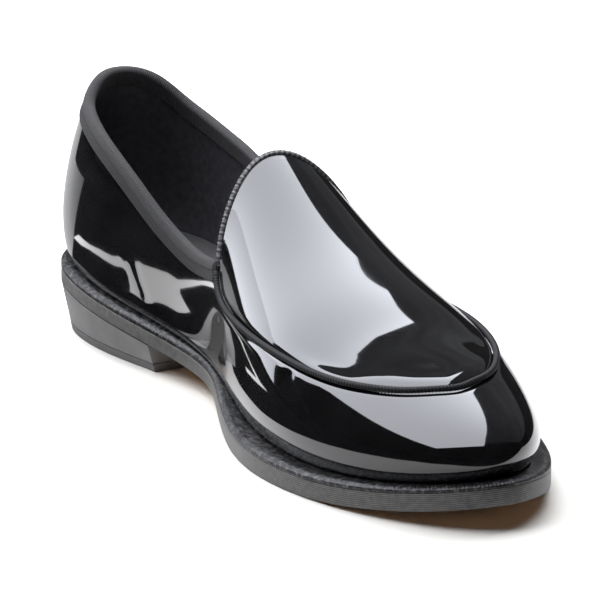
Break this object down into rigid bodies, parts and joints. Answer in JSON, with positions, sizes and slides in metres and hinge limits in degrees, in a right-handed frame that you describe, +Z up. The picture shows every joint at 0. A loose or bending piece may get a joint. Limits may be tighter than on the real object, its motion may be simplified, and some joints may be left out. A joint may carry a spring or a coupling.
{
  "type": "slip-on dress shoe",
  "caption": "Plain patent slip-on dress shoe for the left foot: hollow lasted upper with corded apron seam, bound collar, welted leather sole and low stacked heel.",
  "frame": {"origin": "on the floor below the middle of the sole outline's box", "axes": "+Z up, the toe points along -Y, +X is the outer side of the left foot"},
  "size_m": [0.1008, 0.299, 0.0945],
  "materials": {
    "upper": "black patent, mirror gloss",
    "apron_piping": "black corded piping, satin",
    "collar_binding": "dark grey ribbed tape, matt",
    "tongue_binding": "black overcast edge, satin",
    "insole": "black lining leather, satin",
    "welt": "black welt, wheeled and waxed",
    "outsole": "tan sole leather with black waxed edge",
    "heel": "black stacked heel, polished",
    "heel_top_piece": "black rubber, matt"
  },
  "bodies": {
    "root": {"upper": "upper", "apron_piping": "apron_piping", "collar_binding": "collar_binding", "tongue_binding": "tongue_binding", "insole": "insole", "welt": "welt", "outsole": "outsole", "heel": "heel", "heel_top_piece": "heel_top_piece"}
  },
  "joints": []
}
